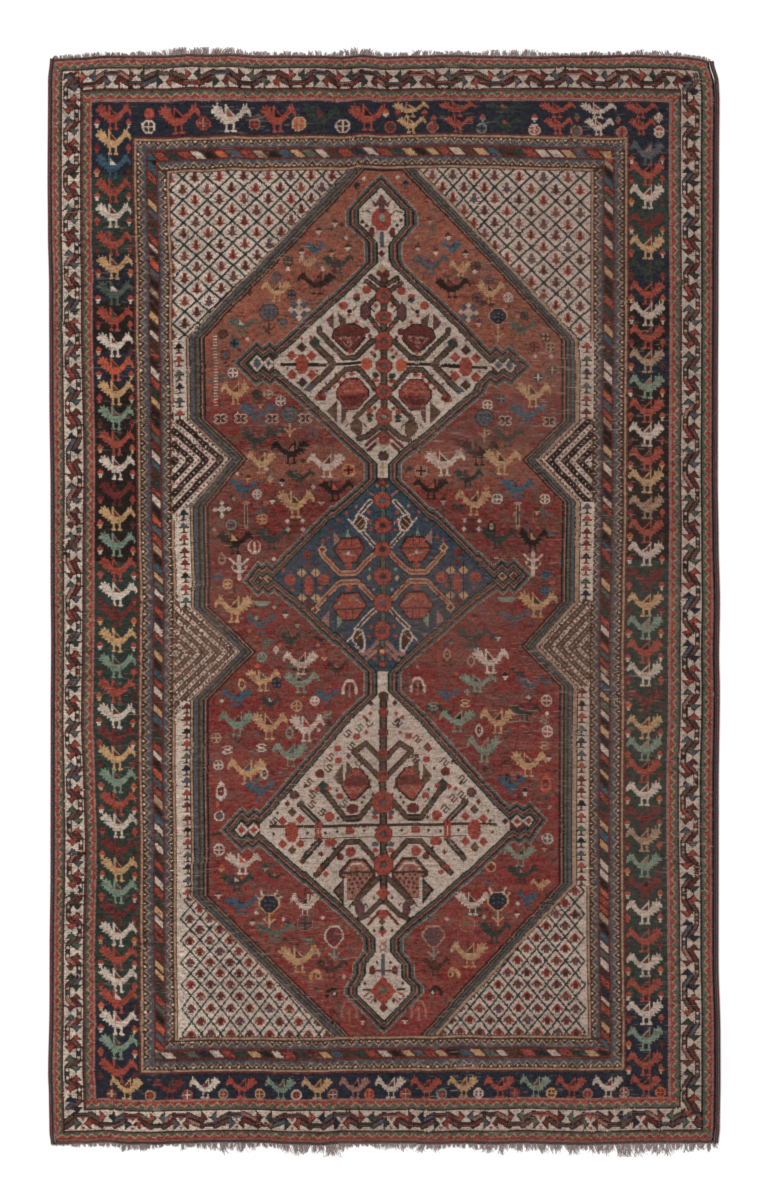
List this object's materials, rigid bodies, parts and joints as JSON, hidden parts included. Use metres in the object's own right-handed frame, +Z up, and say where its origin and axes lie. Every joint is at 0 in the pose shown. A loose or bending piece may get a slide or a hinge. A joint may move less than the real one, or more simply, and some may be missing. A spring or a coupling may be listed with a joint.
{
  "type": "qashqai rug",
  "caption": "Flat rectangular hand-knotted wool rug, with two wrapped cords along each side and a short warp fringe on a flat-woven band at each end.",
  "frame": {"origin": "on the floor, under the middle of the rug's box with its fringes", "axes": "+Y along the rug's length towards the picture's upper end, +X across it to the picture's right, +Z up out of the pile"},
  "size_m": [1.578, 2.602, 0.0062],
  "materials": {
    "pile_wool": "worn low knotted wool pile, patterned in madder red, rust, ivory, navy, indigo, dark green, gold and dark brown",
    "red_cord_wool": "wool yarn wrapped closely round a cord, maroon red",
    "dark_cord_wool": "wool yarn wrapped closely round a cord, dark brown",
    "warp_wool": "loose undyed wool warp ends, greyish pink beige"
  },
  "bodies": {
    "root": {"pile": "pile_wool", "cord_left_outer": "red_cord_wool", "cord_left_inner": "dark_cord_wool", "cord_right_outer": "red_cord_wool", "cord_right_inner": "dark_cord_wool", "fringe_top": "warp_wool", "fringe_bottom": "warp_wool"}
  },
  "joints": []
}
